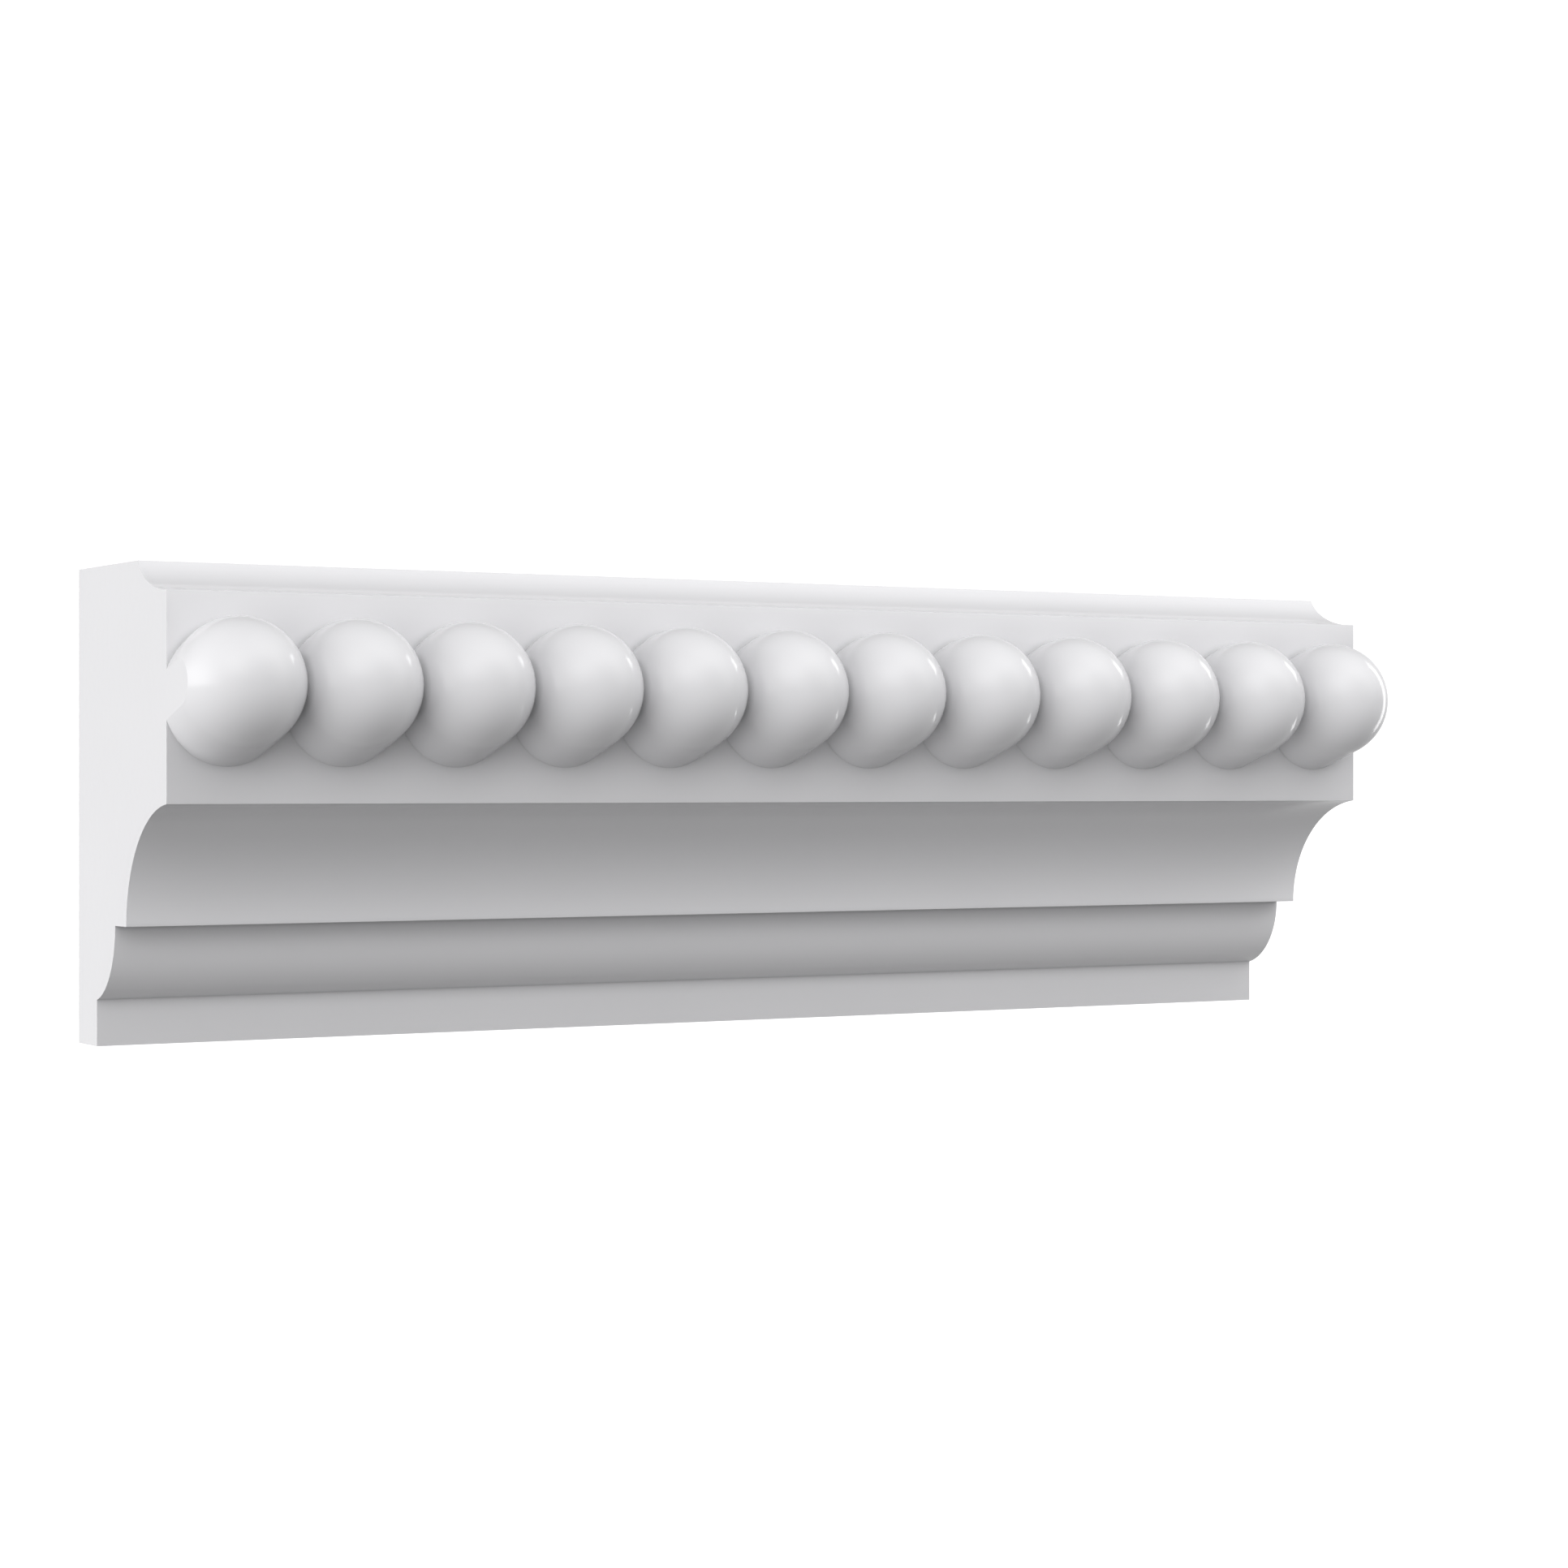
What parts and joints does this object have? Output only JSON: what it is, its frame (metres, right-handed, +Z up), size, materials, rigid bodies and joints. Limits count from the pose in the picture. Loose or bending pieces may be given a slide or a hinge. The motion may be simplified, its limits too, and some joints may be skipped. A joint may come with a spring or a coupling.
{
  "type": "frieze moulding",
  "caption": "Straight wall frieze moulding with a row of large overlapping ball beads on a flat band, over a hollow and a rounded foot.",
  "frame": {"origin": "centre of the flat back face, which lies against the wall", "axes": "+X along the length, to the right seen from the front; +Y into the wall; +Z up"},
  "size_m": [0.3044, 0.0717, 0.1],
  "materials": {
    "white_satin": "satin"
  },
  "bodies": {
    "root": {"beaded_frieze": "white_satin"}
  },
  "joints": []
}
